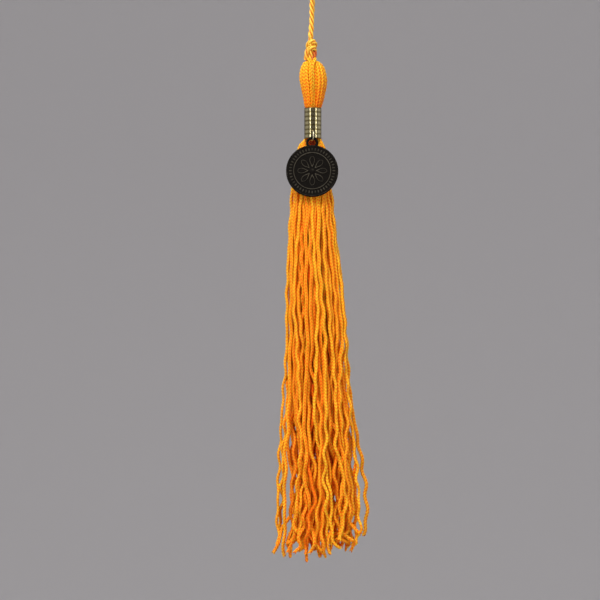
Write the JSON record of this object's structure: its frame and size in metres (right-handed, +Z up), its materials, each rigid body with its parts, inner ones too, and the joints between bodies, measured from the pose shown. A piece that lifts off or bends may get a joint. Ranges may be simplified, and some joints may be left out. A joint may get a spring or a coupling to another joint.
{
  "type": "graduation tassel",
  "caption": "Long golden yarn tassel with a folded yarn head, ribbed metal ferrule, twisted hanging loop and a dark round charm on a jump ring.",
  "frame": {"origin": "the point that the loop hangs from, under the top of the hanging loop", "axes": "+Z up along the hanging tassel, -Y to the front, where the charm is"},
  "size_m": [0.0444, 0.0255, 0.2877],
  "materials": {
    "twisted_cord": "three-ply twisted rayon cord, golden yellow, slight sheen",
    "chain_yarn": "knitted chain rayon yarn, golden yellow, orange in the shade between strands",
    "plated_ferrule": "ribbed brass tube with a pale plating",
    "plated_wire": "round plated brass wire, polished",
    "blackened_charm": "cast metal with a matt black finish, slightly worn on its raised lines"
  },
  "bodies": {
    "tassel": {"hanging_loop": "twisted_cord", "loop_knot": "twisted_cord", "yarn": "chain_yarn", "ferrule": "plated_ferrule", "jump_ring": "plated_wire"},
    "charm": {"charm": "blackened_charm"}
  },
  "joints": [
    {"name": "charm_swing", "type": "hinge", "parent": "tassel", "child": "charm", "pos_m": [-0.00035, -0.0049, -0.09087], "axis": [-1, 0, 0], "range_deg": [0, 140]}
  ]
}
